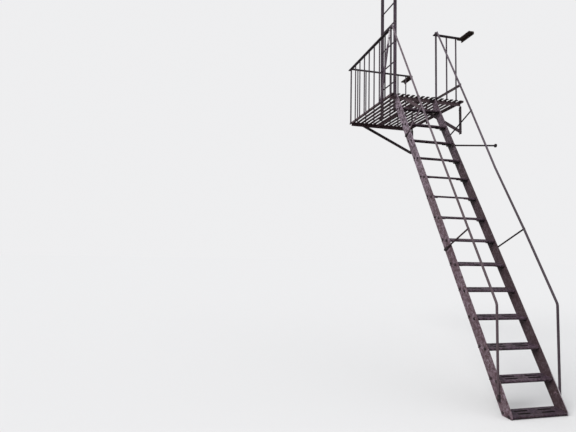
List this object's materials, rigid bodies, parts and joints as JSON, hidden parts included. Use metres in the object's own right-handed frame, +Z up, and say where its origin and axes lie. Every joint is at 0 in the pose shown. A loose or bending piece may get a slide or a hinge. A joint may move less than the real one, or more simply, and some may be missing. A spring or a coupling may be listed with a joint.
{
  "type": "fire escape stair",
  "caption": "Painted iron fire escape: slatted balcony on wall brackets, steep open stair with handrails, and a fixed ladder to the roof.",
  "frame": {"origin": "middle of the near bracket's wall leg, on the face that lies on the wall", "axes": "+Z up, +Y into the wall, +X along the wall in the direction in which the stair descends"},
  "size_m": [3.606, 1.186, 7.4199],
  "materials": {
    "balcony_iron": "old dark maroon paint over rusted iron",
    "railing_paint": "dull brown-mauve paint, thin and worn",
    "stringer_paint": "dull brown-mauve paint with flakes and rivet heads",
    "tread_paint": "dull red-brown paint worn by feet",
    "ladder_paint": "dull brown-mauve paint",
    "rusted_iron": "bare rusted flat bar"
  },
  "bodies": {
    "root": {"floor_slats": "balcony_iron", "end_bar_near": "balcony_iron", "end_bar_far": "balcony_iron", "edge_bar_outer": "balcony_iron", "edge_bar_wall": "balcony_iron", "floor_joist": "balcony_iron", "bracket_leg_near": "balcony_iron", "bracket_leg_far": "balcony_iron", "bracket_brace_near": "balcony_iron", "bracket_brace_far": "balcony_iron", "corner_post_near": "railing_paint", "corner_post_far": "railing_paint", "front_top_rail": "railing_paint", "front_balusters": "railing_paint", "corner_brace": "railing_paint", "far_top_rail": "railing_paint", "far_balusters": "railing_paint", "near_top_rail": "railing_paint", "near_balusters": "railing_paint", "stair_post": "railing_paint", "rail_wall_plates": "rusted_iron", "wall_bar": "rusted_iron", "stringer_outer": "stringer_paint", "stringer_inner": "stringer_paint", "stringer_clips": "balcony_iron", "tread_01": "tread_paint", "tread_02": "tread_paint", "tread_03": "tread_paint", "tread_04": "tread_paint", "tread_05": "tread_paint", "tread_06": "tread_paint", "tread_07": "tread_paint", "tread_08": "tread_paint", "tread_09": "tread_paint", "tread_10": "tread_paint", "tread_11": "tread_paint", "tread_12": "tread_paint", "tread_13": "tread_paint", "tread_14": "tread_paint", "tread_cleats": "balcony_iron", "handrail_outer": "railing_paint", "handrail_inner": "railing_paint", "handrail_rods": "railing_paint", "handrail_feet": "balcony_iron", "wall_tie": "balcony_iron", "ladder_rails": "ladder_paint", "ladder_rungs": "ladder_paint", "ladder_feet": "balcony_iron", "ladder_arches": "ladder_paint", "ladder_landings": "ladder_paint", "ladder_stays": "ladder_paint"}
  },
  "joints": []
}
